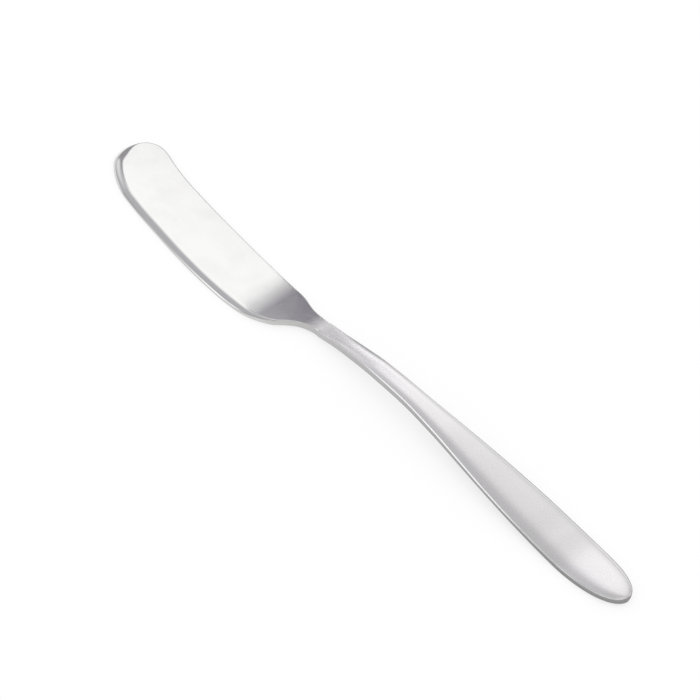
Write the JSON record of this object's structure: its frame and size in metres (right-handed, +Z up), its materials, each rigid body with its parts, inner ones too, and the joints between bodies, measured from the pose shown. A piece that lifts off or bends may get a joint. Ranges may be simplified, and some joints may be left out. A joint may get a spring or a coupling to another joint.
{
  "type": "butter knife",
  "caption": "Stainless-steel butter knife: a wide polished spreading blade with a raised tip and rolled edge, on a slim arched satin handle with a rounded end.",
  "frame": {"origin": "under the middle of the knife's length and width, on the surface that it lies on", "axes": "+X along the knife from the blade's tip to the handle's end, +Y towards the blade's spine, +Z up from the surface"},
  "size_m": [0.165, 0.02, 0.0055],
  "materials": {
    "polished_steel": "mirror polish with fine wipe marks",
    "satin_steel": "fine satin, brushed along the handle"
  },
  "bodies": {
    "root": {"blade": "polished_steel", "handle": "satin_steel"}
  },
  "joints": []
}
